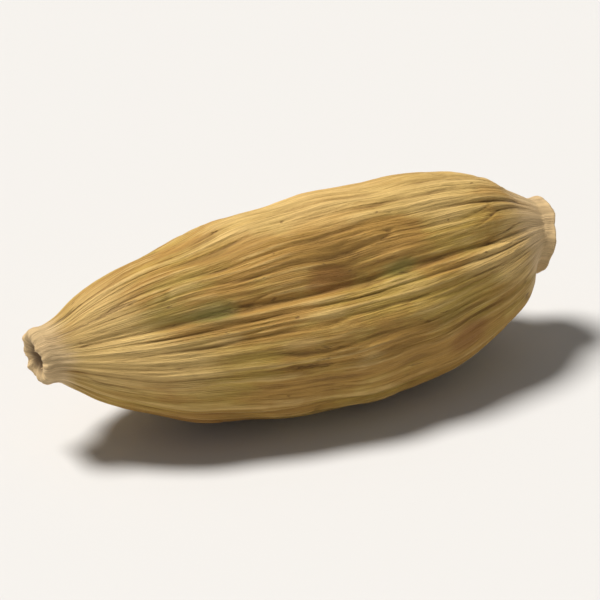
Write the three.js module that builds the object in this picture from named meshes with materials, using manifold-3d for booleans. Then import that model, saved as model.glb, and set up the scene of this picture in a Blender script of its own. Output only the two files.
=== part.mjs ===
// Green cardamom pod: one dried, closed capsule, lying on its side on a small flat spot.
// Millimetres, +Z up. The pod lies along X, with its withered flower tip at -X and its stalk stub at +X.
// The origin is on the surface that it rests on, below the middle of its bounding box.

import * as THREE from 'three';
import { ParametricGeometry } from 'three/addons/geometries/ParametricGeometry.js';
import { mergeVertices } from 'three/addons/utils/BufferGeometryUtils.js';
import Module from 'manifold-3d';

const degrees = THREE.MathUtils.degToRad;
const FULL_TURN = 2 * Math.PI;

// Driving dimensions of the husk. It is a spindle, fuller towards the stalk, and both its ends rise
// and swing a little to one side.
const HUSK_LENGTH = 17.4;
const HUSK_RADIUS = 3.33;
const TIP_TAPER = 0.53;
const STALK_TAPER = 0.39;
const AXIS_HEIGHT = 2.9;
const BOW_RISE = 0.5;
const BOW_SIDE = 0.25;

// Three lobes, with a furrow between each two and a fine seam along each crest.
const LOBES = 3;
const LOBE_RELIEF = 0.25;
const FURROW_DEPTH = 0.24;
const FURROW_HALF_WIDTH = degrees(8);
const SEAM_HEIGHT = 0.1;
const SEAM_HALF_WIDTH = degrees(4);

// How far the lobes and ribs are turned about the axis, and how they drift from end to end.
const ROLL = degrees(7);
const TWIST = degrees(9);
const WANDER = degrees(2);

// Lengthwise ribs of unequal strength.
const RIBS = 30;
const RIB_HEIGHT = 0.13;
const RIB_WEAKEST = 0.3;
const RIB_SEED = 11;

// Low lumps, where the seeds show through: waves of these counts around and along the husk.
const LUMP_HEIGHT = 0.065;
const LUMP_SEED = 7;
const LUMPS_AROUND = [1, 2, 3, 4, 5, 1, 2, 3, 4];
const LUMPS_ALONG = [2, 3, 4, 5, 2, 3, 4, 5, 2];

// Hollows that drying left: place along the husk from 0 to 1, place around it, half sizes and depth.
const HOLLOWS = [
  { along: 0.57, around: degrees(318), halfLength: 0.1, halfWidth: degrees(15), depth: 0.26 },
  { along: 0.3, around: degrees(292), halfLength: 0.09, halfWidth: degrees(12), depth: 0.14 },
  { along: 0.78, around: degrees(268), halfLength: 0.07, halfWidth: degrees(14), depth: 0.18 },
  { along: 0.42, around: degrees(75), halfLength: 0.12, halfWidth: degrees(16), depth: 0.2 },
  { along: 0.7, around: degrees(28), halfLength: 0.06, halfWidth: degrees(12), depth: 0.12 },
  { along: 0.22, around: degrees(150), halfLength: 0.08, halfWidth: degrees(18), depth: 0.15 },
];

// The stalk stub: a low collar with a slanted cut face, and a ring pressed in round its core.
const STUB_RADIUS = 1.2;
const STUB_FLARE = 1.28;
const STUB_LENGTH = 0.34;
const STUB_WALL = 0.22;
const STUB_CORE_RADIUS = 0.46;
const STUB_RECESS = 0.24;
const STUB_SLANT = degrees(20);
const STUB_FILLET = 0.3;

// The withered flower tip: a short tube that narrows to its open mouth.
const TIP_RADIUS = 0.92;
const TIP_MOUTH = 0.84;
const TIP_LENGTH = 0.34;
const TIP_WALL = 0.2;
const TIP_RECESS = 0.3;
const TIP_SLANT = degrees(-9);
const TIP_FILLET = 0.16;

// How deep both end pieces are rooted in the husk, and where along the root their fillets stand.
const ROOT_DEPTH = 1.2;
const FILLET_START = 0.6 * ROOT_DEPTH;
const FILLET_MIDDLE = 0.3 * ROOT_DEPTH;

// Mesh fineness: four columns to a rib, and rows that crowd towards both ends.
const COLUMNS = 4 * RIBS;
const ROWS = 44;
const END_CROWDING = 0.6;
const END_SIDES = 20;
const MERGE_DISTANCE = 1e-4;

// The multiplier and modulus of a plain repeatable number row.
const ROW_MULTIPLIER = 16807;
const ROW_MODULUS = 2147483647;

const wasm = await Module();
wasm.setup();

// A row of numbers between 0 and 1, the same each time.
function numberRow(seed, count) {
  const numbers = [];
  let state = seed;
  for (let index = 0; index < count; index += 1) {
    state = (state * ROW_MULTIPLIER) % ROW_MODULUS;
    numbers.push(state / ROW_MODULUS);
  }
  return numbers;
}

// The husk's radius along its length as a share of its largest, 0 at both ends.
function fullness(along) {
  const widest = TIP_TAPER / (TIP_TAPER + STALK_TAPER);
  const peak = widest ** TIP_TAPER * (1 - widest) ** STALK_TAPER;
  return (along ** TIP_TAPER * (1 - along) ** STALK_TAPER) / peak;
}

// The angle by which the lobes and ribs are turned at a place along the husk.
function drift(along) {
  return ROLL + TWIST * (along - 0.5) + WANDER * Math.sin(FULL_TURN * along);
}

// The three lobes with their furrows and crest seams, by the angle from the first lobe's crest.
function lobeHeight(fromCrest) {
  const lobe = Math.cos(LOBES * fromCrest);
  const spread = (halfWidth) => (LOBES * halfWidth) ** 2 / 2;
  const furrow = Math.exp(-(1 + lobe) / spread(FURROW_HALF_WIDTH));
  const seam = Math.exp(-(1 - lobe) / spread(SEAM_HALF_WIDTH));
  return LOBE_RELIEF * lobe - FURROW_DEPTH * furrow + SEAM_HEIGHT * seam;
}

// The ribs: each stands a little more or less proud than the next.
const ribStrengths = numberRow(RIB_SEED, RIBS);
function ribHeight(fromCrest) {
  const place = (fromCrest / FULL_TURN) * RIBS;
  const strength = RIB_WEAKEST + (1 - RIB_WEAKEST) * ribStrengths[Math.round(place) % RIBS];
  return (RIB_HEIGHT * strength * (1 + Math.cos(FULL_TURN * place))) / 2;
}

// The low lumps: a sum of waves that close on themselves round the husk.
const lumpPhases = numberRow(LUMP_SEED, LUMPS_AROUND.length);
function lumpHeight(along, around) {
  let sum = 0;
  lumpPhases.forEach((phase, index) => {
    const turns = (LUMPS_ALONG[index] + phase) * along + phase;
    sum += Math.cos(LUMPS_AROUND[index] * around + FULL_TURN * turns);
  });
  return (LUMP_HEIGHT * sum) / Math.sqrt(lumpPhases.length);
}

// The hollows' depth at a place, each one a smooth dip.
function hollowDepth(along, around) {
  let depth = 0;
  for (const hollow of HOLLOWS) {
    const turn = around - hollow.around;
    const across = Math.atan2(Math.sin(turn), Math.cos(turn)) / hollow.halfWidth;
    const lengthwise = (along - hollow.along) / hollow.halfLength;
    depth += hollow.depth * Math.exp(-(lengthwise ** 2) - across ** 2);
  }
  return depth;
}

function axisPoint(along, target) {
  const fromMiddle = (2 * along - 1) ** 2;
  return target.set(HUSK_LENGTH * (along - 0.5), BOW_SIDE * fromMiddle, AXIS_HEIGHT + BOW_RISE * fromMiddle);
}

// A point of the husk's surface. Rows run along it and columns follow the ribs round it, with the
// angle measured from +Z towards +Y.
function huskPoint(row, column, target) {
  const along = row - (END_CROWDING * Math.sin(FULL_TURN * row)) / FULL_TURN;
  const fromCrest = FULL_TURN * column;
  const around = fromCrest + drift(along);
  const grown = HUSK_RADIUS + lobeHeight(fromCrest) + ribHeight(fromCrest);
  const radius = fullness(along) * (grown + lumpHeight(along, around) - hollowDepth(along, around));
  axisPoint(along, target);
  target.y += radius * Math.sin(around);
  target.z += radius * Math.cos(around);
}

// A closed geometry as a solid: shared corners merged, and faces with no area dropped.
function solidOf(geometry) {
  const bare = geometry.clone();
  bare.deleteAttribute('normal');
  bare.deleteAttribute('uv');
  const merged = mergeVertices(bare, MERGE_DISTANCE);
  const corners = merged.index.array;
  const kept = [];
  for (let start = 0; start < corners.length; start += 3) {
    const face = corners.slice(start, start + 3);
    if (new Set(face).size === 3) {
      kept.push(...face);
    }
  }
  const vertProperties = new Float32Array(merged.attributes.position.array);
  return new wasm.Manifold(new wasm.Mesh({ numProp: 3, vertProperties, triVerts: new Uint32Array(kept) }));
}

function geometryOf(solid) {
  const mesh = solid.getMesh();
  const geometry = new THREE.BufferGeometry();
  geometry.setAttribute('position', new THREE.BufferAttribute(mesh.vertProperties, 3));
  geometry.setIndex(new THREE.BufferAttribute(mesh.triVerts, 1));
  geometry.computeVertexNormals();
  return geometry;
}

// A turned end piece on the husk's end at +X or -X. Its profile is pairs of radius and reach past
// that end, and the slant turns its face up or down.
function turnedEnd(profile, side, slant) {
  const points = profile.map(([radius, reach]) => new THREE.Vector2(radius, reach));
  const piece = new THREE.LatheGeometry(points, END_SIDES);
  const end = axisPoint((1 + side) / 2, new THREE.Vector3());
  piece.rotateZ((-side * Math.PI) / 2);
  piece.rotateY(slant);
  piece.translate(end.x, end.y, end.z);
  return piece;
}

// The root of an end piece: a fillet that widens into the husk, as pairs of radius and reach.
function filletedRoot(radius, fillet) {
  return [
    [0, -ROOT_DEPTH],
    [radius + fillet, -FILLET_START],
    [radius + fillet / 4, -FILLET_MIDDLE],
    [radius, 0],
  ];
}

function stalkStub() {
  const floor = STUB_LENGTH - STUB_RECESS;
  const innerRadius = STUB_FLARE - STUB_WALL;
  const coreEdge = STUB_CORE_RADIUS - STUB_WALL / 2;
  const profile = [
    ...filletedRoot(STUB_RADIUS, STUB_FILLET),
    [STUB_FLARE, STUB_LENGTH],
    [innerRadius, STUB_LENGTH],
    [innerRadius - STUB_WALL / 2, floor],
    [STUB_CORE_RADIUS, floor],
    [coreEdge, STUB_LENGTH - STUB_RECESS / 3],
    [0, STUB_LENGTH - STUB_RECESS / 4],
  ];
  return turnedEnd(profile, 1, STUB_SLANT);
}

function flowerTip() {
  const floor = TIP_LENGTH - TIP_RECESS;
  const profile = [
    ...filletedRoot(TIP_RADIUS, TIP_FILLET),
    [TIP_MOUTH, TIP_LENGTH],
    [TIP_MOUTH - TIP_WALL, TIP_LENGTH],
    [TIP_MOUTH - TIP_WALL, floor],
    [0, floor],
  ];
  return turnedEnd(profile, -1, TIP_SLANT);
}

// What lies below the resting surface, to be cut away for the flat spot.
function groundBlock() {
  const size = 2 * HUSK_LENGTH;
  const block = new THREE.BoxGeometry(size, size, size);
  block.translate(0, 0, -size / 2);
  return block;
}

function cardamomPod() {
  const husk = solidOf(new ParametricGeometry(huskPoint, ROWS, COLUMNS));
  const grown = husk.add(solidOf(stalkStub())).add(solidOf(flowerTip()));
  const geometry = geometryOf(grown.subtract(solidOf(groundBlock())));
  geometry.computeBoundingBox();
  const middle = geometry.boundingBox.getCenter(new THREE.Vector3());
  geometry.translate(-middle.x, -middle.y, 0);
  const material = new THREE.MeshStandardMaterial({ color: 0xa8905a, roughness: 0.7, metalness: 0 });
  const mesh = new THREE.Mesh(geometry, material);
  mesh.name = 'cardamom_pod';
  return mesh;
}

const pod = new THREE.Group();
pod.add(cardamomPod());

export default pod;
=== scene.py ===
"""Green cardamom pod: the dried husk, its stalk stub and its withered flower tip, on a pale floor."""

import itertools
import math

import bpy
import numpy as np
from bpy.props import FloatProperty, FloatVectorProperty, IntProperty, PointerProperty
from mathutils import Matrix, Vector


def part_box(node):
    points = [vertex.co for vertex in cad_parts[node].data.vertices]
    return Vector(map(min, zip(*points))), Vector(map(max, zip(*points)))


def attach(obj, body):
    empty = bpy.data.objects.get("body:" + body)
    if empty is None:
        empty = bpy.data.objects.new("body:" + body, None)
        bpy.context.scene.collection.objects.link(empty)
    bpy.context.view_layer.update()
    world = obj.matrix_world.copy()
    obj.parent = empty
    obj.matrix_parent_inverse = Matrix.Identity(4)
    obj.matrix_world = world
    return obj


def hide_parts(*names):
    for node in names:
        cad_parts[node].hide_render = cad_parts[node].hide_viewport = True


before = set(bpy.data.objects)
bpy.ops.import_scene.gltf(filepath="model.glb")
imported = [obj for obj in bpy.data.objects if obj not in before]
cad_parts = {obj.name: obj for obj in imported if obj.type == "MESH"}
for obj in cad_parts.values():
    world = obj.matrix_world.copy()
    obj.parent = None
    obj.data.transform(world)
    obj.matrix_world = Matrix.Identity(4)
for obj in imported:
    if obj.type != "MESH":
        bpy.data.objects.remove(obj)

bl_info = {
    "name": "Green Cardamom Pod",
    "version": (1, 0, 0),
    "blender": (4, 5, 0),
    "location": "View3D > Sidebar > Cardamom",
    "description": "Builds a dried green cardamom pod with its stalk stub and withered flower tip",
    "category": "Object",
}

MM = 0.001
FULL_TURN = 2 * math.pi
NODE = "cardamom_pod"
BODY = "root"

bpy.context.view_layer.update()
POD_LOW, POD_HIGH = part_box(NODE)

# Shape of the stalk stub and the flower tip, as in the solid.
STUB_SLANT = math.radians(20)
TIP_SLANT = math.radians(-9)
STUB_FLARE = 1.28 * MM
STUB_LENGTH = 0.34 * MM
STUB_WALL = 0.22 * MM
STUB_RECESS = 0.24 * MM
TIP_MOUTH = 0.84 * MM
TIP_LENGTH = 0.34 * MM
TIP_RECESS = 0.3 * MM

# How far each end piece reaches past the husk, and the husk's own length between them.
STUB_REACH = STUB_LENGTH * math.cos(STUB_SLANT) + STUB_FLARE * math.sin(STUB_SLANT)
TIP_REACH = TIP_LENGTH * math.cos(TIP_SLANT) - TIP_MOUTH * math.sin(TIP_SLANT)
HUSK_LENGTH = (POD_HIGH - POD_LOW).x - STUB_REACH - TIP_REACH

# Where the husk runs over into its ends: the fillet, the share of its length that leans with them, and how
# far in from the ends the relief fades out and the dry pale colour reaches.
FILLET = 0.45 * MM
END_BEND = 0.045
RELIEF_FADE = 1.4 * MM
DRY_TIP = 1.4 * MM
DRY_STALK = 2.5 * MM

# The husk's form: its tapers, the bow of its axis, and how its lobes and ribs turn along it.
TIP_TAPER = 0.53
STALK_TAPER = 0.39
AXIS_HEIGHT = 2.9 * MM
BOW_RISE = 0.5 * MM
BOW_SIDE = 0.25 * MM
ROLL = math.radians(7)
TWIST = math.radians(9)
WANDER = math.radians(2)
LOBES = 3
RIBS = 30
RIB_WEAKEST = 0.3
RIB_SEED = 11
LUMP_SEED = 7
LUMPS_AROUND = (1, 2, 3, 4, 5, 1, 2, 3, 4)
LUMPS_ALONG = (2, 3, 4, 5, 2, 3, 4, 5, 2)
VEINS_PER_RIB = 3
FURROW_HALF_WIDTH = math.radians(8)
SEAM_HALF_WIDTH = math.radians(4)

# Hollows that drying left: place along the husk, angle round it, half length, half angle, depth.
HOLLOWS = (
    (0.57, 318, 0.10, 15, 0.26 * MM),
    (0.30, 292, 0.09, 12, 0.14 * MM),
    (0.78, 268, 0.07, 14, 0.18 * MM),
    (0.42, 75, 0.12, 16, 0.20 * MM),
    (0.70, 28, 0.06, 12, 0.12 * MM),
    (0.22, 150, 0.08, 18, 0.15 * MM),
)

# Where the husk has stains, where it is green and where it has paled, with some painted shade and painted
# highlight among them. Each patch has its place along the husk, its angle round it, its half length, its
# half angle and its strength.
STAINS_AND_SHADE = (
    (0.51, 315, 0.055, 10, 1.2),
    (0.77, 257, 0.06, 10, 1.0),
    (0.50, 262, 0.20, 12, 0.45),
    # Painted shade: this patch darkens the lower front near the tip.
    (0.27, 228, 0.14, 18, 0.8),
    (0.35, 120, 0.14, 22, 0.7),
    (0.80, 140, 0.08, 20, 0.6),
    (0.25, 200, 0.12, 22, 0.6),
    (0.62, 70, 0.05, 10, 0.8),
)
GREENS = (
    (0.29, 309, 0.05, 8, 0.85),
    (0.20, 322, 0.13, 24, 0.5),
    (0.65, 311, 0.06, 7, 0.75),
    (0.81, 304, 0.08, 9, 0.5),
    (0.86, 284, 0.04, 6, 0.5),
    (0.45, 165, 0.18, 26, 0.8),
    (0.76, 62, 0.12, 20, 0.8),
    (0.20, 70, 0.10, 24, 0.6),
    (0.66, 205, 0.15, 20, 0.6),
)
FADED_AND_HIGHLIT = (
    (0.55, 4, 0.25, 26, 0.9),
    (0.10, 335, 0.07, 40, 0.7),
    (0.88, 8, 0.08, 24, 0.8),
    # Painted highlight: these two lighten the front of the stalk end.
    (0.91, 288, 0.06, 18, 1.1),
    (0.94, 312, 0.05, 26, 1.1),
    (0.82, 297, 0.06, 8, 0.8),
    (0.06, 290, 0.07, 50, 0.8),
    (0.05, 110, 0.06, 70, 0.7),
    (0.77, 342, 0.07, 16, 0.6),
    (0.18, 278, 0.10, 26, 0.9),
    (0.30, 291, 0.04, 4, 0.6),
    (0.42, 281, 0.05, 4, 0.7),
    (0.55, 268, 0.05, 4, 0.6),
    (0.70, 115, 0.15, 25, 0.7),
    (0.30, 180, 0.10, 20, 0.6),
)

# What each of the three tables is painted on the mesh as.
PATCHES = {"stain_and_shade": STAINS_AND_SHADE, "green": GREENS, "faded_and_highlit": FADED_AND_HIGHLIT}

# The noises in the husk's relief: the seed, and the reach along the pod and across it in millimetres.
RELIEF_NOISES = {
    "long stray": (3, 5.0, 2.4),
    "short stray": (4, 1.8, 0.9),
    "long sway": (5, 4.5, 1.6),
    "short sway": (6, 1.2, 0.5),
    "rib strength": (7, 3.0, 0.8),
    "vein sway": (8, 2.6, 0.7),
    "vein strength": (9, 2.2, 0.6),
    "shrinkage": (10, 3.6, 2.0),
    "crease": (11, 4.6, 0.85),
    "fine crease": (12, 1.6, 0.4),
    "pucker": (13, 0.26, 0.7),
    "grain": (14, 1.1, 0.16),
    "dent": (15, 2.6, 1.3),
}

# A crease runs where its noise is this near to 0.
CREASE_WIDTH = 0.065

# The noises at the ends: the seed, and the reach round the pod in millimetres. Along the pod their reach is
# endless, so they don't change over an end's short length.
TEAR_NOISE = (34, 0.9)
NOTCH_NOISE = (37, 2.0)
WIDTH_NOISE = (36, 1.4)
FOLD_NOISE = (38, 2.0)
ENDLESS = 1e3

# The folds round the tip's mouth, and the rays in the stub's cut face.
TIP_FOLDS = 7
FACE_SPOKES = 17

# How dark and how light single fibres make the husk.
FIBRE_DARK = (0.68, 0.62, 0.52)
FIBRE_LIGHT = (1.22, 1.21, 1.18)

# Mesh fineness.
HUSK_COLUMNS = 420
HUSK_ROWS = 178
END_CROWDING = 0.35
FACE_COLUMNS = 144
FIBRE_SIDES = 6
FIBRE_RINGS = 9

# The rings and columns of the coarse husk that its middle is found with.
SHIFT_ROWS = 60
SHIFT_COLUMNS = 90

# The rounds of smoothing that leave only the broad relief, which the crests stand out from.
BROAD_ROUNDS = 16

# The direction that the key light comes from.
KEY_FROM = (-0.32, 0.30, 0.90)

# The pale band at the horizon: the height in the sky up to which it is full, and from which it is gone.
BAND_FULL = 0.06
BAND_GONE = 0.26

# Half the floor's width in metres, and how far it lies below the pod, which would share its plane.
FLOOR_HALF = 1.5
FLOOR_DROP = 0.01 * MM

# What the camera sees, from and up to these multiples of its distance.
CLIP_NEAR = 0.1
CLIP_FAR = 20

# The multiplier and modulus of the plain number row that the solid uses too.
ROW_MULTIPLIER = 16807
ROW_MODULUS = 2147483647

# After how many cells a noise repeats, and what brings most of it to between -1 and 1.
NOISE_CELLS = 256
NOISE_SPREAD = 1.7


class HuskSettings(bpy.types.PropertyGroup):
    """Sizes and colours of the husk"""

    radius: FloatProperty(name="Radius", description="Mean radius at the fullest place",
                          default=3.33 * MM, unit="LENGTH", precision=5)
    lobe_relief: FloatProperty(name="Lobe relief", description="How far the three lobes stand out",
                               default=0.25 * MM, unit="LENGTH", precision=5)
    furrow_depth: FloatProperty(name="Furrow depth", description="Depth of the furrow between two lobes",
                                default=0.18 * MM, unit="LENGTH", precision=5)
    seam_height: FloatProperty(name="Seam height", description="Height of the thread on each lobe's crest",
                               default=0.1 * MM, unit="LENGTH", precision=5)
    rib_height: FloatProperty(name="Rib height", description="Height of the strongest lengthwise ribs",
                              default=0.11 * MM, unit="LENGTH", precision=5)
    lump_height: FloatProperty(name="Lump height", description="Height of the lumps that the seeds make",
                               default=0.065 * MM, unit="LENGTH", precision=5)
    vein_height: FloatProperty(name="Vein height", description="Height of the fine veins on the ribs",
                               default=0.046 * MM, unit="LENGTH", precision=5)
    crease_depth: FloatProperty(name="Crease depth", description="Depth of the shrinkage creases",
                                default=0.05 * MM, unit="LENGTH", precision=5)
    dent_depth: FloatProperty(name="Dent depth", description="Depth of the shallow dents between lumps",
                              default=0.05 * MM, unit="LENGTH", precision=5)
    pucker_height: FloatProperty(name="Pucker height", description="Height of the small cross puckers",
                                 default=0.012 * MM, unit="LENGTH", precision=5)
    # Straw is also the painted highlight on the front of the stalk end.
    straw: FloatVectorProperty(name="Straw", description="Colour of the dry raised fibres",
                               default=(0.66, 0.46, 0.178), size=3, subtype="COLOR", min=0, max=1)
    khaki: FloatVectorProperty(name="Khaki", description="Colour of most of the husk",
                               default=(0.43, 0.29, 0.062), size=3, subtype="COLOR", min=0, max=1)
    olive: FloatVectorProperty(name="Olive", description="Colour where the husk is still green",
                               default=(0.215, 0.19, 0.045), size=3, subtype="COLOR", min=0, max=1)
    tan: FloatVectorProperty(name="Tan", description="Colour where the husk has turned brown",
                             default=(0.41, 0.235, 0.055), size=3, subtype="COLOR", min=0, max=1)
    # Rust is also the painted shade low on the front near the tip.
    rust: FloatVectorProperty(name="Rust", description="Colour of the stains",
                              default=(0.27, 0.115, 0.028), size=3, subtype="COLOR", min=0, max=1)
    # Brown is also the painted shade in the rib gaps, hollows, furrow and creases, besides the specks.
    brown: FloatVectorProperty(name="Brown", description="Colour of hollows, creases and specks",
                               default=(0.12, 0.055, 0.016), size=3, subtype="COLOR", min=0, max=1)


class EndSettings(bpy.types.PropertyGroup):
    """Sizes and colours of the stalk stub, the flower tip and the frayed fibres"""

    stub_radius: FloatProperty(name="Stub radius", description="Radius of the stalk stub's neck",
                               default=1.2 * MM, unit="LENGTH", precision=5)
    stub_core: FloatProperty(name="Stub core radius", description="Radius of the core in the cut face",
                             default=0.46 * MM, unit="LENGTH", precision=5)
    tip_radius: FloatProperty(name="Tip radius", description="Radius of the flower tip's root",
                              default=0.92 * MM, unit="LENGTH", precision=5)
    fibre_radius: FloatProperty(name="Fibre radius", description="Radius of a loose fibre at its root",
                                default=0.035 * MM, unit="LENGTH", precision=5)
    stub_fibres: IntProperty(name="Stub fibres", description="Loose fibres round the stub",
                             default=11, min=0)
    tip_fibres: IntProperty(name="Tip fibres", description="Loose fibres in the flower tip",
                            default=4, min=0)
    pale: FloatVectorProperty(name="Pale wood", description="Colour of the dry rims",
                              default=(0.84, 0.61, 0.335), size=3, subtype="COLOR", min=0, max=1)
    # Used as painted shade inside the tip's mouth and the stub's rim, and in the cut face's groove.
    dark: FloatVectorProperty(name="Dark wood", description="Colour of the recessed rings",
                              default=(0.15, 0.085, 0.038), size=3, subtype="COLOR", min=0, max=1)


class StageSettings(bpy.types.PropertyGroup):
    """The floor, the lights and the camera"""

    azimuth: FloatProperty(name="Azimuth", description="The camera's angle round the pod",
                           default=math.radians(-28), subtype="ANGLE")
    elevation: FloatProperty(name="Elevation", description="The camera's angle above the floor",
                             default=math.radians(28), subtype="ANGLE")
    lens: FloatProperty(name="Lens", description="Focal length, in millimetres", default=260, min=1)
    frame_share: FloatProperty(name="Frame share", description="Share of the picture's width for the pod",
                               default=0.86, min=0.1, max=1, subtype="FACTOR")
    key: FloatProperty(name="Key light", description="Strength of the soft key light", default=4.6, min=0)
    key_softness: FloatProperty(name="Key softness", description="Angle that the key light fills",
                                default=math.radians(20), subtype="ANGLE")
    key_colour: FloatVectorProperty(name="Key colour", description="Colour of the key light",
                                    default=(1.0, 0.965, 0.91), size=3, subtype="COLOR", min=0, max=1)
    sky: FloatProperty(name="Surrounding light", description="Strength of the even light from above",
                       default=0.17, min=0)
    horizon: FloatProperty(name="Horizon", description="Strength of the pale band at the horizon",
                           default=0.91, min=0)
    sky_colour: FloatVectorProperty(name="Surrounding colour", description="Colour of that light",
                                    default=(1, 0.985, 0.955), size=3, subtype="COLOR", min=0, max=1)
    floor: FloatVectorProperty(name="Floor", description="Colour of the floor",
                               default=(0.62, 0.62, 0.625), size=3, subtype="COLOR", min=0, max=1)


class Field:
    """A socket's value over a surface. Python's operators on it add Math nodes."""

    def __init__(self, finish, socket):
        self.finish = finish
        self.socket = socket

    def _math(self, operation, *values):
        return self.finish.node("ShaderNodeMath", {"operation": operation}, dict(enumerate(values)))

    def __add__(self, other):
        return self._math("ADD", self, other)

    def __sub__(self, other):
        return self._math("SUBTRACT", self, other)

    def __rsub__(self, other):
        return self._math("SUBTRACT", other, self)

    def __mul__(self, other):
        return self._math("MULTIPLY", self, other)

    __radd__ = __add__
    __rmul__ = __mul__


class Finish:
    """A material or a world under construction."""

    def __init__(self, owner, shader="Principled BSDF"):
        owner.use_nodes = True
        self.owner = owner
        self.tree = owner.node_tree
        self.surface = self.tree.nodes[shader]

    def plug(self, socket, value):
        """Links a field to the socket, or sets the socket to a plain value."""
        if isinstance(value, Field):
            self.tree.links.new(value.socket, socket)
        elif hasattr(value, "__len__") and len(value) == 3 and socket.type == "RGBA":
            socket.default_value = (*value, 1)
        else:
            socket.default_value = value

    def node(self, kind, settings, inputs, output=0):
        """Adds a node: its settings first, then its sockets by name or number. Returns one output."""
        made = self.tree.nodes.new(kind)
        for name, value in settings.items():
            setattr(made, name, value)
        for name, value in inputs.items():
            self.plug(made.inputs[name], value)
        return Field(self, made.outputs[output])

    def painted(self, name, output="Fac"):
        """What the mesh carries under that name."""
        return self.node("ShaderNodeAttribute", {"attribute_name": name}, {}, output)

    def stretched(self, place, stretch):
        """The place with each of its axes stretched."""
        return self.node("ShaderNodeVectorMath", {"operation": "MULTIPLY"}, {0: place, 1: stretch})

    def noise(self, place, scale, detail=3, roughness=0.55, distortion=0):
        """Soft noise about 0.5."""
        sockets = {"Vector": place, "Scale": scale, "Detail": detail}
        sockets.update({"Roughness": roughness, "Distortion": distortion})
        return self.node("ShaderNodeTexNoise", {}, sockets, "Fac")

    def between(self, value, low, high):
        """0 at low and before it, 1 at high and past it, and smooth between them."""
        sockets = {"Value": value, "From Min": low, "From Max": high}
        return self.node("ShaderNodeMapRange", {"interpolation_type": "SMOOTHSTEP"}, sockets)

    def mixed(self, share, first, second, blend="MIX"):
        """The second colour over the first, by that share."""
        settings = {"data_type": "RGBA", "blend_type": blend}
        return self.node("ShaderNodeMix", settings, {0: share, 6: first, 7: second}, 2)

    def tinted(self, base, colour, strength, sign, low, high):
        """The colour over the base where the sign runs from low to high, at most by that strength."""
        return self.mixed(self.between(sign, low, high) * strength, base, colour)

    def set(self, **sockets):
        """Sets the shader's sockets, with _ for the spaces in their names."""
        for name, value in sockets.items():
            self.plug(self.surface.inputs[name.replace("_", " ")], value)

    def bump(self, height, distance, strength=1.0):
        """Fine relief of that height in metres, fed to the surface's Normal."""
        sockets = {"Height": height, "Distance": distance, "Strength": strength}
        self.set(Normal=self.node("ShaderNodeBump", {}, sockets))


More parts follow.
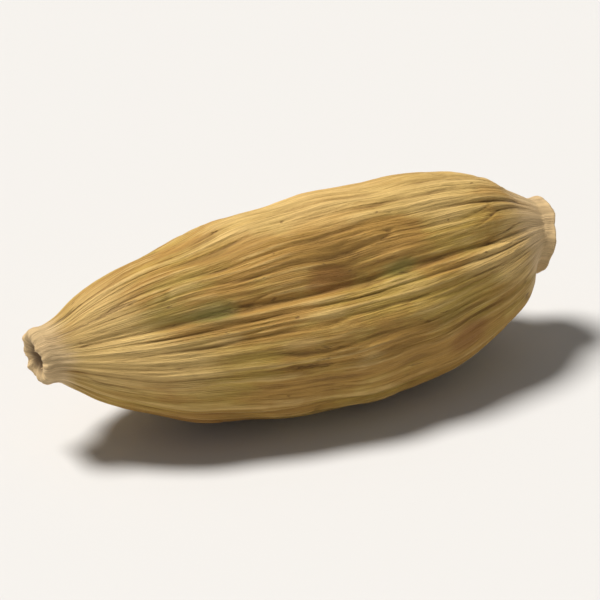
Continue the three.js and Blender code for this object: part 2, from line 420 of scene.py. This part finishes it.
def husk_finish(settings, ends):
    """Dry fibrous husk: straw ribs over olive and tan, with painted shade in its hollows, creases and rib
    gaps.
    """
    skin = Finish(bpy.data.materials.new("dry_husk"))
    place = skin.painted("place", "Vector")
    crest = skin.painted("crest")

    def drawn_out(stretch, scale, detail, roughness=0.55):
        """Noise about 0, drawn out along the pod."""
        return skin.noise(skin.stretched(place, (stretch, 1, 1)), scale, detail, roughness) - 0.5

    blotch = drawn_out(0.5, 0.55, 5, 0.6)
    streak = drawn_out(0.14, 2.0, 4, 0.6)
    fibre = drawn_out(0.05, 9, 5, 0.7)
    grain = drawn_out(0.45, 14, 4)
    thread = drawn_out(0.025, 20, 3)

    # Tan or khaki, with green patches, pale patches with some painted highlight, straw on the crests, and
    # painted shade in brown between them.
    base = skin.mixed(skin.between(blotch + 0.4 * streak, -0.10, 0.12), settings.tan, settings.khaki)
    green = skin.painted("green") + 1.1 * blotch + 0.9 * streak
    base = skin.tinted(base, settings.olive, 0.9, green, 0.22, 0.95)
    # Pale patches, with painted highlight on the front of the stalk end.
    faded_and_highlit = skin.painted("faded_and_highlit") + 0.9 * blotch + 0.9 * streak
    base = skin.tinted(base, settings.straw, 0.75, faded_and_highlit, 0.15, 0.85)
    dry = crest + 0.8 * streak + 0.5 * fibre + 0.5 * blotch
    base = skin.tinted(base, settings.straw, 0.65, dry, 0.46, 0.90)
    # Painted shade: brown where the fine relief lies low between the ribs.
    rib_gap_shade = crest + 0.5 * streak + 0.4 * fibre
    base = skin.tinted(base, settings.brown, 0.45, rib_gap_shade, 0.44, 0.14)

    # The light and dark of single fibres, the stains with some painted shade, and painted shade in the
    # hollows.
    shade = skin.mixed(skin.between(fibre + 0.7 * thread, -0.20, 0.20), FIBRE_DARK, FIBRE_LIGHT)
    base = skin.mixed(0.6, base, shade, "MULTIPLY")
    # Stains, with painted shade on the lower front near the tip.
    stained_and_shaded = skin.painted("stain_and_shade") + 1.3 * streak + 0.9 * blotch + 0.5 * fibre
    base = skin.tinted(base, settings.rust, 0.62, stained_and_shaded, 0.30, 0.80)
    # Painted shade: brown in the hollows, the furrow's cleft and the creases.
    shaded_hollows = skin.painted("hollow_shade") + 0.9 * streak + 0.6 * grain
    base = skin.tinted(base, settings.brown, 0.55, shaded_hollows, 0.30, 0.85)

    # Painted shade in the fine creases, and dark specks.
    crease_place = skin.stretched(place, (0.2, 1, 1))
    crease_run = skin.noise(crease_place, 1.6, detail=5, roughness=0.7, distortion=0.3)
    crease = skin.between(crease_run, 0.37, 0.32)
    base = skin.mixed(crease * 0.45, base, settings.brown)
    speck_cells = {"Vector": skin.stretched(place, (0.6, 1, 1)), "Scale": 1.5, "Randomness": 1}
    speck_distance = skin.node("ShaderNodeTexVoronoi", {}, speck_cells, "Distance")
    speck = skin.between(speck_distance + 0.3 * grain, 0.075, 0.03)
    base = skin.mixed(speck * 0.55, base, settings.brown)

    # The dry ends, and painted shade inside the tip's mouth and the stub's rim.
    worn = skin.mixed(skin.between(streak + fibre, -0.2, 0.2), darker(ends.pale, 0.75), ends.pale)
    dry_end = skin.painted("end") + 0.9 * streak + 0.7 * fibre + 0.5 * blotch
    base = skin.tinted(base, worn, 0.8, dry_end, 0.20, 0.90)
    base = skin.tinted(base, ends.dark, 0.85, skin.painted("mouth"), 0.1, 0.9)

    relief = 0.5 * fibre + 0.6 * thread + 0.35 * grain + 0.3 * streak - 0.4 * crease - 0.2 * speck
    skin.set(Base_Color=base, Roughness=0.78 - 0.2 * crest + 0.2 * fibre, Specular_IOR_Level=0.35)
    skin.bump(relief, 0.085 * MM, 0.9)
    return skin.owner


def darker(colour, share):
    """A colour of which only that share is left."""
    return tuple(share * channel for channel in colour)


def wood_finish(ends):
    """Dry pale wood of the cut face and the loose fibres, with painted shade where the face lies lower, and
    the dark of single fibres.
    """
    name = "dry_wood"
    if name in bpy.data.materials:
        return bpy.data.materials[name]
    wood = Finish(bpy.data.materials.new(name))
    place = wood.painted("place", "Vector")
    groove_shade = wood.painted("hollow_shade")
    fibre = wood.noise(place, 6, detail=5, roughness=0.65)
    grain = wood.noise(place, 22, detail=3)
    base = wood.mixed(wood.between(fibre, 0.35, 0.65), darker(ends.pale, 0.6), ends.pale)
    # Painted shade: the lower the cut face lies, the darker, mixed with the fibres' own dark.
    base = wood.tinted(base, ends.dark, 0.85, 0.7 * groove_shade + 2 * (fibre - 0.5), 0.1, 1.1)
    wood.set(Base_Color=base, Roughness=0.78 + 0.2 * (fibre - 0.5), Specular_IOR_Level=0.3)
    wood.bump(0.7 * fibre + 0.4 * grain, 0.05 * MM, 0.8)
    return wood.owner


def number_row(seed, count):
    """A row of numbers between 0 and 1, the same each time."""
    numbers = []
    state = seed
    for _ in range(count):
        state = state * ROW_MULTIPLIER % ROW_MODULUS
        numbers.append(state / ROW_MODULUS)
    return np.array(numbers)


def lattice_noise(place, seed):
    """Smooth random numbers, mostly from -1 to 1, that change over about one unit of place."""
    random = np.random.default_rng(seed)
    shuffle = random.permutation(NOISE_CELLS)
    slopes = random.normal(size=(NOISE_CELLS, 3))
    slopes /= np.linalg.norm(slopes, axis=1, keepdims=True)
    cell = np.floor(place).astype(int)
    inside = place - cell
    ease = inside ** 3 * (inside * (6 * inside - 15) + 10)
    total = np.zeros(place.shape[:-1])
    for corner in itertools.product((0, 1), repeat=3):
        x, y, z = np.moveaxis(cell + corner, -1, 0) % NOISE_CELLS
        slope = slopes[shuffle[(shuffle[(shuffle[x] + y) % NOISE_CELLS] + z) % NOISE_CELLS]]
        weight = np.where(corner, ease, 1 - ease).prod(axis=-1)
        total += weight * (slope * (inside - corner)).sum(axis=-1)
    return NOISE_SPREAD * total


def end_noise(place, kind):
    """The same at the ends, where it doesn't change along the pod."""
    seed, width = kind
    return lattice_noise(place / (ENDLESS, width, width), seed)


def smoothed(values, times):
    """The values averaged with their neighbours along the pod and round it, that many times."""
    for _ in range(times):
        values = (np.roll(values, 1, axis=1) + 2 * values + np.roll(values, -1, axis=1)) / 4
        padded = np.concatenate([values[:1], values, values[-1:]])
        values = (padded[:-2] + 2 * values + padded[2:]) / 4
    return values


def patches(table, along, around):
    """The sum of smooth round patches, each given as place, angle, half sizes and strength."""
    total = np.zeros_like(along)
    for place, angle, half_length, half_angle, strength in table:
        turn = around - math.radians(angle)
        across = np.arctan2(np.sin(turn), np.cos(turn)) / math.radians(half_angle)
        total += strength * np.exp(-((along - place) / half_length) ** 2 - across ** 2)
    return total


def fullness(along):
    """The husk's radius along its length as a share of its largest."""
    widest = TIP_TAPER / (TIP_TAPER + STALK_TAPER)
    peak = widest ** TIP_TAPER * (1 - widest) ** STALK_TAPER
    return along ** TIP_TAPER * (1 - along) ** STALK_TAPER / peak


def drift(along):
    """The angle by which the lobes and ribs are turned at a place along the husk."""
    return ROLL + TWIST * (along - 0.5) + WANDER * np.sin(FULL_TURN * along)


def side_shift(settings):
    """How far the husk is moved sideways, so that its middle lies over the middle of the frame's box."""
    steps = np.linspace(0, 1, SHIFT_ROWS)[1:-1]
    turns = FULL_TURN * np.arange(SHIFT_COLUMNS) / SHIFT_COLUMNS
    along, from_crest = np.meshgrid(steps, turns, indexing="ij")
    around = from_crest + drift(along)
    radius = fullness(along) * (settings.radius + broad_relief(settings, along, around, from_crest))
    side = BOW_SIDE * (2 * along - 1) ** 2 + radius * np.sin(around)
    return (POD_LOW.y + POD_HIGH.y - side.min() - side.max()) / 2


def axis_point(settings, along):
    """A point of the husk's bowed axis, from its tip at 0 to its stalk at 1."""
    along = np.asarray(along, float)
    from_middle = (2 * along - 1) ** 2
    x = POD_LOW.x + TIP_REACH + HUSK_LENGTH * along
    y = side_shift(settings) + BOW_SIDE * from_middle
    return np.stack([x, y, AXIS_HEIGHT + BOW_RISE * from_middle], axis=-1)


def eased(share):
    """0 up to 0, 1 from 1 on, and smooth between them."""
    share = np.clip(share, 0, 1)
    return share * share * (3 - 2 * share)


def lean(along):
    """The way forward and up for each ring: near the ends the rings lean as the ends do."""
    angle = STUB_SLANT * eased((along - 1) / END_BEND + 1) + TIP_SLANT * eased(1 - along / END_BEND)
    still = np.zeros_like(angle)
    forward = np.stack([np.cos(angle), still, -np.sin(angle)], axis=-1)
    upward = np.stack([np.sin(angle), still, np.cos(angle)], axis=-1)
    return forward, upward


def smooth_max(first, second, blend):
    """The larger of two widths, with a fillet where they are alike."""
    return np.maximum(first, second) + np.maximum(blend - np.abs(first - second), 0) ** 2 / (4 * blend)


def ridge_line(cosine, half_width):
    """1 along the lines where the cosine is 1, falling off smoothly beside them."""
    return np.exp(-(1 - cosine) / ((LOBES * half_width) ** 2 / 2))


def lump_height(along, around):
    """The low lumps, where the seeds show through: the same waves as on the solid."""
    total = np.zeros_like(along)
    phases = number_row(LUMP_SEED, len(LUMPS_AROUND))
    for phase, waves_around, waves_along in zip(phases, LUMPS_AROUND, LUMPS_ALONG):
        turns = (waves_along + phase) * along + phase
        total += np.cos(waves_around * around + FULL_TURN * turns)
    return total / math.sqrt(len(LUMPS_AROUND))


def broad_relief(settings, along, around, from_crest):
    """What shows from a step away: the three lobes, the furrows between them, the lumps and hollows."""
    lobe = np.cos(LOBES * from_crest)
    return (
        settings.lobe_relief * lobe
        - settings.furrow_depth * ridge_line(-lobe, FURROW_HALF_WIDTH)
        + settings.lump_height * lump_height(along, around)
        - patches(HOLLOWS, along, around)
    )


def on_cylinder(settings, along, from_crest):
    """Each point's place in millimetres as if the husk were a plain cylinder."""
    girth = settings.radius / MM
    place = [along * HUSK_LENGTH / MM, girth * np.cos(from_crest), girth * np.sin(from_crest)]
    return np.stack(place, axis=-1)


def ribs_and_veins(strayed, noise):
    """The ribs, and the veins on them, as shares of their heights."""
    # The ribs lie at uneven distances and sway on their way along the pod.
    uneven = 0.055 * np.sin(5 * strayed + 1.3) + 0.030 * np.sin(11 * strayed + 0.4)
    ribbed = strayed + uneven + 0.050 * noise("long sway") + 0.012 * noise("short sway")
    rib_index = np.round(ribbed / FULL_TURN * RIBS).astype(int) % RIBS
    strength = RIB_WEAKEST + (1 - RIB_WEAKEST) * number_row(RIB_SEED, RIBS)[rib_index]
    rib_wave = (1 + np.cos(RIBS * ribbed)) / 2
    rib = strength * (1 + 0.7 * noise("rib strength")) * rib_wave ** 0.75
    vein_wave = (1 + np.cos(VEINS_PER_RIB * RIBS * ribbed + 2.4 * noise("vein sway"))) / 2
    vein = vein_wave ** 1.5 * np.clip(0.6 + 0.8 * noise("vein strength"), 0, 1)
    return rib, vein


def husk_relief(settings, along, from_crest):
    """The husk's relief over its mean radius, its angles, and the shares that its colours follow."""
    around = from_crest + drift(along)
    place = on_cylinder(settings, along, from_crest)

    def noise(name):
        """One of the relief's noises over the husk."""
        seed, length, width = RELIEF_NOISES[name]
        return lattice_noise(place / (length, width, width), seed)

    strayed = from_crest + 0.030 * noise("long stray") + 0.010 * noise("short stray")
    lobe = np.cos(LOBES * strayed)
    cleft = ridge_line(-lobe, FURROW_HALF_WIDTH / 4)
    seam = ridge_line(lobe, SEAM_HALF_WIDTH)
    rib, vein = ribs_and_veins(strayed, noise)

    shrunk = np.clip(0.35 + 1.2 * noise("shrinkage"), 0, 1)
    net = noise("crease") + 0.35 * noise("fine crease")
    crease = np.exp(-(net / CREASE_WIDTH) ** 2) * shrunk
    pucker = noise("pucker") * shrunk
    height = (
        broad_relief(settings, along, around, strayed)
        - 0.2 * settings.furrow_depth * cleft
        + settings.dent_depth * noise("dent")
        + settings.seam_height * seam
        + settings.rib_height * rib
        + settings.vein_height * (vein + 0.5 * noise("grain"))
        - settings.crease_depth * crease
        + settings.pucker_height * pucker
    )
    fine = height - smoothed(height, BROAD_ROUNDS)
    # Painted shade: how much the furrow's cleft, the hollows and the creases are darkened.
    recess_shade = 0.1 * cleft + 1.5 * patches(HOLLOWS, along, around) / MM + 0.7 * crease
    shares = {"crest": np.clip(0.5 + fine / (0.16 * MM), 0, 1), "hollow_shade": np.clip(recess_shade, 0, 1)}
    for name, table in PATCHES.items():
        shares[name] = np.clip(patches(table, along, around), 0, 1)
    return height, around, shares


def rounded(profile, times):
    """The profile with its corners cut, that many times over."""
    points = np.array(profile, float)
    for _ in range(times):
        near = 0.75 * points[:-1] + 0.25 * points[1:]
        far = 0.25 * points[:-1] + 0.75 * points[1:]
        between = np.stack([near, far], axis=1).reshape(-1, points.shape[1])
        points = np.concatenate([points[:1], between, points[-1:]])
    return points


def stub_rows(ends):
    """The stub's outline, from the husk's end over its rim: reach, radius, and how far inside it is."""
    inner = STUB_FLARE - STUB_WALL
    return rounded([
        (0, ends.stub_radius, 0),
        (STUB_LENGTH / 2, ends.stub_radius + 0.02 * MM, 0),
        (STUB_LENGTH - 0.05 * MM, STUB_FLARE, 0),
        (STUB_LENGTH + 0.02 * MM, STUB_FLARE - 0.03 * MM, 0),
        (STUB_LENGTH + 0.01 * MM, inner + 0.03 * MM, 0.1),
        (STUB_LENGTH - 0.07 * MM, inner, 0.3),
        (STUB_LENGTH - 1.3 * STUB_RECESS, inner - 0.1 * MM, 0.6),
    ], 2)


def tip_rows(ends):
    """The same for the flower tip, whose withered mouth is drawn in to a small dark hole."""
    return rounded([
        (0, ends.tip_radius, 0),
        (TIP_LENGTH / 2, 0.97 * ends.tip_radius, 0),
        (TIP_LENGTH - 0.04 * MM, TIP_MOUTH, 0),
        (TIP_LENGTH + 0.02 * MM, 0.90 * TIP_MOUTH, 0),
        (TIP_LENGTH, 0.74 * TIP_MOUTH, 0.1),
        (TIP_LENGTH - 0.09 * MM, 0.58 * TIP_MOUTH, 0.4),
        (TIP_LENGTH - 0.18 * MM, 0.40 * TIP_MOUTH, 0.8),
        (TIP_LENGTH - TIP_RECESS, 0.22 * TIP_MOUTH, 1),
    ], 2)


def skin_rows(settings, ends):
    """The skin's rings from inside the tip's mouth to inside the stub's rim.

    Gives each ring's place along the husk, its reach past the husk's end, its mean radius,
    and how far it lies inside a mouth.
    """
    step = np.linspace(0, 1, HUSK_ROWS + 2)[1:-1]
    along = step - END_CROWDING * np.sin(FULL_TURN * step) / FULL_TURN
    neck = np.where(along < 0.5, ends.tip_radius, ends.stub_radius)
    width = smooth_max(settings.radius * fullness(along), neck, FILLET)
    tip = tip_rows(ends)[::-1]
    stub = stub_rows(ends)
    nothing = np.zeros(HUSK_ROWS)
    return (
        np.concatenate([np.zeros(len(tip)), along, np.ones(len(stub))]),
        np.concatenate([-tip[:, 0], nothing, stub[:, 0]]),
        np.concatenate([tip[:, 1], width, stub[:, 1]]),
        np.concatenate([tip[:, 2], nothing, stub[:, 2]]),
    )


def ragged(place, reach):
    """How much of the reach the torn rims lose at each angle."""
    torn = end_noise(place, TEAR_NOISE)
    notch = np.clip(end_noise(place, NOTCH_NOISE) - 0.2, 0, 1)
    stub_share = np.clip(reach / STUB_LENGTH, 0, 1) ** 2
    tip_share = np.clip(-reach / TIP_LENGTH, 0, 1) ** 2
    return MM * (stub_share * (0.05 * torn + 0.08 * notch) - tip_share * (0.08 * torn + 0.1 * notch))


def unround(place, along, around, reach, mouth):
    """By what share of their radius the ends are wider or narrower than round, with folds at the tip."""
    past_end = eased(np.abs(reach) / (0.2 * MM))
    fold = np.cos(TIP_FOLDS * around + 3 * end_noise(place, FOLD_NOISE)) * (along < 0.5)
    uneven = 0.04 * end_noise(place, WIDTH_NOISE) + 0.03 * fold * (1 + 2 * mouth)
    return past_end * uneven


def husk_piece(settings, ends):
    """The whole skin of the pod as one closed mesh, with what its colours follow painted on."""
    along, reach, width, mouth = skin_rows(settings, ends)
    from_crest = FULL_TURN * np.arange(HUSK_COLUMNS) / HUSK_COLUMNS
    along, from_crest = np.meshgrid(along, from_crest, indexing="ij")
    reach = np.broadcast_to(reach[:, None], along.shape)
    mouth = np.broadcast_to(mouth[:, None], along.shape)
    height, around, shares = husk_relief(settings, along, from_crest)
    place = on_cylinder(settings, along, from_crest)
    from_end = np.minimum(along, 1 - along) * HUSK_LENGTH - np.abs(reach)
    height = height * (1 - 0.7 * eased(1 - from_end / RELIEF_FADE))
    uneven = unround(place, along, around, reach, mouth)
    radius = width[:, None] * (1 + height / settings.radius + uneven)
    forward, upward = lean(along)
    rings = (
        axis_point(settings, along)
        + (reach - ragged(place, reach))[..., None] * forward
        + (radius * np.cos(around))[..., None] * upward
    )
    rings[..., 1] += radius * np.sin(around)
    rings[..., 2] = np.maximum(rings[..., 2], 0)
    piece = closed_skin("husk", rings[0].mean(axis=0), rings, husk_finish(settings, ends))
    # The angle runs clockwise as seen from the stalk, so the faces come out turned inwards.
    piece.data.flip_normals()
    dry_reach = np.where(along < 0.5, DRY_TIP, DRY_STALK)
    shares["end"] = eased(1 - (from_end + 0.2 * MM) / dry_reach)
    shares["mouth"] = mouth
    place[..., 0] += reach / MM
    paint(piece, "place", with_ends(place))
    for name, values in shares.items():
        paint(piece, name, with_ends(values))
    return piece


def made_piece(name, points, faces, finish):
    """A smooth mesh in the scene, which moves with the pod."""
    mesh = bpy.data.meshes.new(name)
    mesh.from_pydata(points.tolist(), [], faces)
    mesh.shade_smooth()
    mesh.materials.append(finish)
    piece = bpy.data.objects.new(name, mesh)
    bpy.context.scene.collection.objects.link(piece)
    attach(piece, BODY)
    return piece


def closed_skin(name, start, rings, finish):
    """A closed mesh: a start point, rings of points, and the last ring gathered to its middle.

    Its faces look outwards where each ring runs anticlockwise as seen from the next.
    """
    count, columns = rings.shape[:2]
    middle = rings[-1].mean(axis=0)
    points = np.concatenate([[start], rings.reshape(-1, 3), [middle]])
    column = np.arange(columns)
    beside = (column + 1) % columns
    offsets = 1 + columns * np.arange(count - 1)[:, None]
    near, far = offsets, offsets + columns
    sides = np.stack([near + column, near + beside, far + beside, far + column], axis=-1).reshape(-1, 4)
    last = 1 + columns * (count - 1)
    first_fan = [(0, 1 + b, 1 + a) for a, b in zip(column, beside)]
    last_fan = [(last + columns, last + a, last + b) for a, b in zip(column, beside)]
    return made_piece(name, points, sides.tolist() + first_fan + last_fan, finish)


def paint(piece, name, values):
    """Keeps a number or a vector for each point of the mesh, for its material to read."""
    kind = "FLOAT" if values.ndim == 1 else "FLOAT_VECTOR"
    key = "value" if values.ndim == 1 else "vector"
    attribute = piece.data.attributes.new(name, kind, "POINT")
    attribute.data.foreach_set(key, values.astype(np.float32).ravel())


def with_ends(values):
    """A ring table's values as one row, with its first ring's mean before and its last ring's after."""
    flat = values.reshape(values.shape[0] * values.shape[1], *values.shape[2:])
    return np.concatenate([[values[0].mean(axis=0)], flat, [values[-1].mean(axis=0)]])


def end_axes(settings, side):
    """Where the husk ends, the way the end points, and the two directions across it."""
    end = (1 + side) / 2
    forward, upward = lean(np.array(end, float))
    return axis_point(settings, end), side * forward, np.array([0.0, 1.0, 0.0]), upward


def cut_face(settings, ends):
    """The ringed face inside the stub's rim: a groove round a core, both torn by the break."""
    root, forward, across, upward = end_axes(settings, 1)
    edge = STUB_FLARE - 0.7 * STUB_WALL
    core = ends.stub_core
    top = STUB_LENGTH - 0.06 * MM
    floor = STUB_LENGTH - STUB_RECESS
    outline = rounded([
        (0.3 * MM, floor - 0.06 * MM),
        (edge - 0.05 * MM, floor - 0.05 * MM),
        (edge, floor - 0.02 * MM),
        (edge - 0.02 * MM, floor + 0.05 * MM),
        (edge - 0.16 * MM, floor + 0.04 * MM),
        (edge - 0.32 * MM, floor),
        (core + 0.14 * MM, floor),
        (core + 0.02 * MM, floor + 0.05 * MM),
        (core - 0.04 * MM, top),
        (core / 2, top - 0.01 * MM),
        (core / 4, top - 0.05 * MM),
        (0.01 * MM, top - 0.06 * MM),
    ], 3)
    angle = FULL_TURN * np.arange(FACE_COLUMNS) / FACE_COLUMNS
    radius, angle = np.meshgrid(outline[:, 0], angle, indexing="ij")
    reach = np.broadcast_to(outline[:, 1:], radius.shape)
    flat = np.stack([radius * np.cos(angle), radius * np.sin(angle), reach], axis=-1) / MM
    # The outline's first quarter is the back. It stays smooth, and so does the edge inside the wall.
    in_front = (np.arange(len(outline)) > len(outline) / 4)[:, None]
    face = eased((edge - radius) / (0.1 * MM)) * in_front
    coarse = lattice_noise(flat / (0.5, 0.5, 1.0), 31)
    fine = lattice_noise(flat / (0.11, 0.11, 0.3), 32)
    spoke = np.cos(FACE_SPOKES * angle + 2 * coarse) * np.clip(radius / edge, 0, 1)
    reach = reach + MM * face * (0.035 * coarse + 0.03 * fine + 0.012 * spoke)
    radius = radius * (1 + 0.05 * lattice_noise(flat / (0.8, 0.8, ENDLESS), 33))
    rings = (
        root
        + reach[..., None] * forward
        + (radius * np.cos(angle))[..., None] * across
        + (radius * np.sin(angle))[..., None] * upward
    )
    piece = closed_skin("stub_face", rings[0].mean(axis=0), rings, wood_finish(ends))
    # Its grain hardly changes outwards, so that it runs in rays.
    rayed = [1.6 * np.cos(angle), 1.6 * np.sin(angle), (0.35 * radius + reach) / MM]
    paint(piece, "place", with_ends(np.stack(rayed, axis=-1)))
    # Painted shade: how far down each point of the face lies, for the dark in its groove.
    paint(piece, "hollow_shade", with_ends(eased((top - reach) / (top - floor))))
    return piece


def fibre_rings(line, thickness):
    """Rings round a line of points, ever thinner towards its end."""
    ahead = np.gradient(line, axis=0)
    ahead /= np.linalg.norm(ahead, axis=1, keepdims=True)
    across = np.cross(ahead, (0.3, 0.5, 0.8))
    across /= np.linalg.norm(across, axis=1, keepdims=True)
    other = np.cross(ahead, across)
    turn = FULL_TURN * np.arange(FIBRE_SIDES) / FIBRE_SIDES
    thin = thickness * (1 - 0.8 * np.linspace(0, 1, len(line)) ** 2)
    ring = np.cos(turn)[:, None] * across[:, None] + np.sin(turn)[:, None] * other[:, None]
    return line[:, None] + thin[:, None, None] * ring


def frayed_fibres(name, settings, ends, side, radius, reach, lengths, count, seed):
    """The loose fibre ends that curl out of an end's rim, as one mesh."""
    root, forward, across, upward = end_axes(settings, side)
    random = np.random.default_rng(seed)
    points, faces = [], []
    for index in range(count):
        turn = FULL_TURN * (index + random.uniform(-0.45, 0.45)) / count
        outward = math.cos(turn) * across + math.sin(turn) * upward
        length = random.uniform(*lengths)
        bend = random.uniform(-0.3, 0.5) * outward + random.uniform(-0.6, 0.6) * np.cross(forward, outward)
        start = root + radius * random.uniform(0.88, 1.0) * outward + reach * forward
        steps = np.linspace(-0.6, 1, FIBRE_RINGS)[:, None]
        line = start + length * (steps * forward + steps * np.abs(steps) * bend)
        rings = fibre_rings(line, ends.fibre_radius * random.uniform(0.6, 1.0))
        faces.extend(tube_faces(len(points), FIBRE_RINGS, FIBRE_SIDES))
        points.extend(rings.reshape(-1, 3))
    points = np.array(points)
    piece = made_piece(name, points, faces, wood_finish(ends))
    paint(piece, "place", points / MM)
    paint(piece, "hollow_shade", np.zeros(len(points)))
    return piece


def tube_faces(offset, rings, sides):
    """The faces of a closed tube whose points start at the offset."""
    faces = [tuple(offset + column for column in reversed(range(sides)))]
    for ring, column in itertools.product(range(rings - 1), range(sides)):
        near = offset + ring * sides
        beside = (column + 1) % sides
        faces.append((near + column, near + beside, near + sides + beside, near + sides + column))
    last = offset + (rings - 1) * sides
    faces.append(tuple(last + column for column in range(sides)))
    return faces


class CARDAMOM_OT_husk(bpy.types.Operator):
    """Build the husk with the stub's and the tip's rims, and hide the solid pod, which the husk shows
    instead
    """

    bl_idname = "cardamom.husk"
    bl_label = "Husk"

    def execute(self, context):
        piece = husk_piece(context.scene.cardamom_husk, context.scene.cardamom_ends)
        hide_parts(NODE)
        return {"FINISHED"}


class CARDAMOM_OT_stub_face(bpy.types.Operator):
    """Build the ringed face inside the stalk stub's rim"""

    bl_idname = "cardamom.stub_face"
    bl_label = "Stub Face"

    def execute(self, context):
        cut_face(context.scene.cardamom_husk, context.scene.cardamom_ends)
        return {"FINISHED"}


class CARDAMOM_OT_fibres(bpy.types.Operator):
    """Build the loose fibres round the stub's rim and in the flower tip's mouth"""

    bl_idname = "cardamom.fibres"
    bl_label = "Loose Fibres"

    def execute(self, context):
        settings = context.scene.cardamom_husk
        ends = context.scene.cardamom_ends
        frayed_fibres(
            "stub_fibres", settings, ends, side=1,
            radius=STUB_FLARE - 0.12 * MM, reach=STUB_LENGTH - 0.05 * MM,
            lengths=(0.06 * MM, 0.15 * MM), count=ends.stub_fibres, seed=41,
        )
        frayed_fibres(
            "tip_fibres", settings, ends, side=-1,
            radius=TIP_MOUTH - 0.2 * MM, reach=TIP_LENGTH - 0.2 * MM,
            lengths=(0.14 * MM, 0.26 * MM), count=ends.tip_fibres, seed=61,
        )
        return {"FINISHED"}


class CARDAMOM_OT_stage(bpy.types.Operator):
    """Add the pale floor, the soft studio light and the camera"""

    bl_idname = "cardamom.stage"
    bl_label = "Stage"

    def execute(self, context):
        settings = context.scene.cardamom_stage
        add_floor(settings)
        add_lights(settings)
        add_camera(settings)
        return {"FINISHED"}


def add_floor(settings):
    """A wide pale floor just under the pod."""
    mesh = bpy.data.meshes.new("floor")
    quarters = ((-1, -1), (1, -1), (1, 1), (-1, 1))
    corners = [(FLOOR_HALF * x, FLOOR_HALF * y, -FLOOR_DROP) for x, y in quarters]
    mesh.from_pydata(corners, [], [(0, 1, 2, 3)])
    paper = Finish(bpy.data.materials.new("pale_floor"))
    paper.set(Base_Color=settings.floor, Roughness=0.7, Specular_IOR_Level=0.2)
    mesh.materials.append(paper.owner)
    floor = bpy.data.objects.new("floor", mesh)
    bpy.context.scene.collection.objects.link(floor)


def add_lights(settings):
    """A soft key light from the upper left, behind the pod, and even light all round."""
    light = bpy.data.lights.new("key_light", "SUN")
    light.energy = settings.key
    light.angle = settings.key_softness
    light.color = settings.key_colour
    lamp = bpy.data.objects.new("key_light", light)
    lamp.rotation_euler = Vector(KEY_FROM).to_track_quat("Z", "Y").to_euler()
    bpy.context.scene.collection.objects.link(lamp)

    studio = Finish(bpy.data.worlds.new("studio"), "Background")
    direction = studio.node("ShaderNodeTexCoord", {}, {}, "Generated")
    height = studio.node("ShaderNodeSeparateXYZ", {}, {0: direction}, "Z")
    above = studio.between(height, BAND_FULL, BAND_GONE)
    strength = settings.horizon + (settings.sky - settings.horizon) * above
    studio.set(Color=settings.sky_colour, Strength=strength)
    bpy.context.scene.world = studio.owner


def add_camera(settings):
    """A long lens that looks down on the pod from its front left."""
    azimuth, elevation = settings.azimuth, settings.elevation
    back = Vector((
        math.sin(azimuth) * math.cos(elevation),
        -math.cos(azimuth) * math.cos(elevation),
        math.sin(elevation),
    ))
    camera = bpy.data.cameras.new("camera")
    camera.lens = settings.lens
    across = (POD_HIGH - POD_LOW).x * math.cos(azimuth) / settings.frame_share
    distance = across * settings.lens / camera.sensor_width
    camera.clip_start = distance * CLIP_NEAR
    camera.clip_end = distance * CLIP_FAR
    viewer = bpy.data.objects.new("camera", camera)
    viewer.location = (POD_LOW + POD_HIGH) / 2 + back * distance
    viewer.rotation_euler = (-back).to_track_quat("-Z", "Y").to_euler()
    bpy.context.scene.collection.objects.link(viewer)
    bpy.context.scene.camera = viewer
    bpy.context.scene.view_settings.view_transform = "Standard"


class CARDAMOM_PT_panel(bpy.types.Panel):
    """The pod's sizes and colours, and a button for each piece"""

    bl_idname = "CARDAMOM_PT_panel"
    bl_label = "Green Cardamom Pod"
    bl_space_type = "VIEW_3D"
    bl_region_type = "UI"
    bl_category = "Cardamom"

    def draw(self, context):
        for group, operators in PANEL_ROWS:
            column = self.layout.column()
            settings = getattr(context.scene, group)
            for name in settings.__annotations__:
                column.prop(settings, name)
            for operator in operators:
                column.operator(operator)


PANEL_ROWS = (
    ("cardamom_husk", ("cardamom.husk",)),
    ("cardamom_ends", ("cardamom.stub_face", "cardamom.fibres")),
    ("cardamom_stage", ("cardamom.stage",)),
)

CLASSES = (
    HuskSettings,
    EndSettings,
    StageSettings,
    CARDAMOM_OT_husk,
    CARDAMOM_OT_stub_face,
    CARDAMOM_OT_fibres,
    CARDAMOM_OT_stage,
    CARDAMOM_PT_panel,
)


def register():
    """Makes the classes known, and gives each scene its settings."""
    for item in CLASSES:
        bpy.utils.register_class(item)
    bpy.types.Scene.cardamom_husk = PointerProperty(type=HuskSettings)
    bpy.types.Scene.cardamom_ends = PointerProperty(type=EndSettings)
    bpy.types.Scene.cardamom_stage = PointerProperty(type=StageSettings)


def unregister():
    """Takes the settings and the classes away again."""
    del bpy.types.Scene.cardamom_stage
    del bpy.types.Scene.cardamom_ends
    del bpy.types.Scene.cardamom_husk
    for item in reversed(CLASSES):
        bpy.utils.unregister_class(item)


def main():
    """Builds the pod and its stage as the panel's buttons would."""
    register()
    bpy.ops.cardamom.husk()
    bpy.ops.cardamom.stub_face()
    bpy.ops.cardamom.fibres()
    bpy.ops.cardamom.stage()


if __name__ == "__main__":
    main()
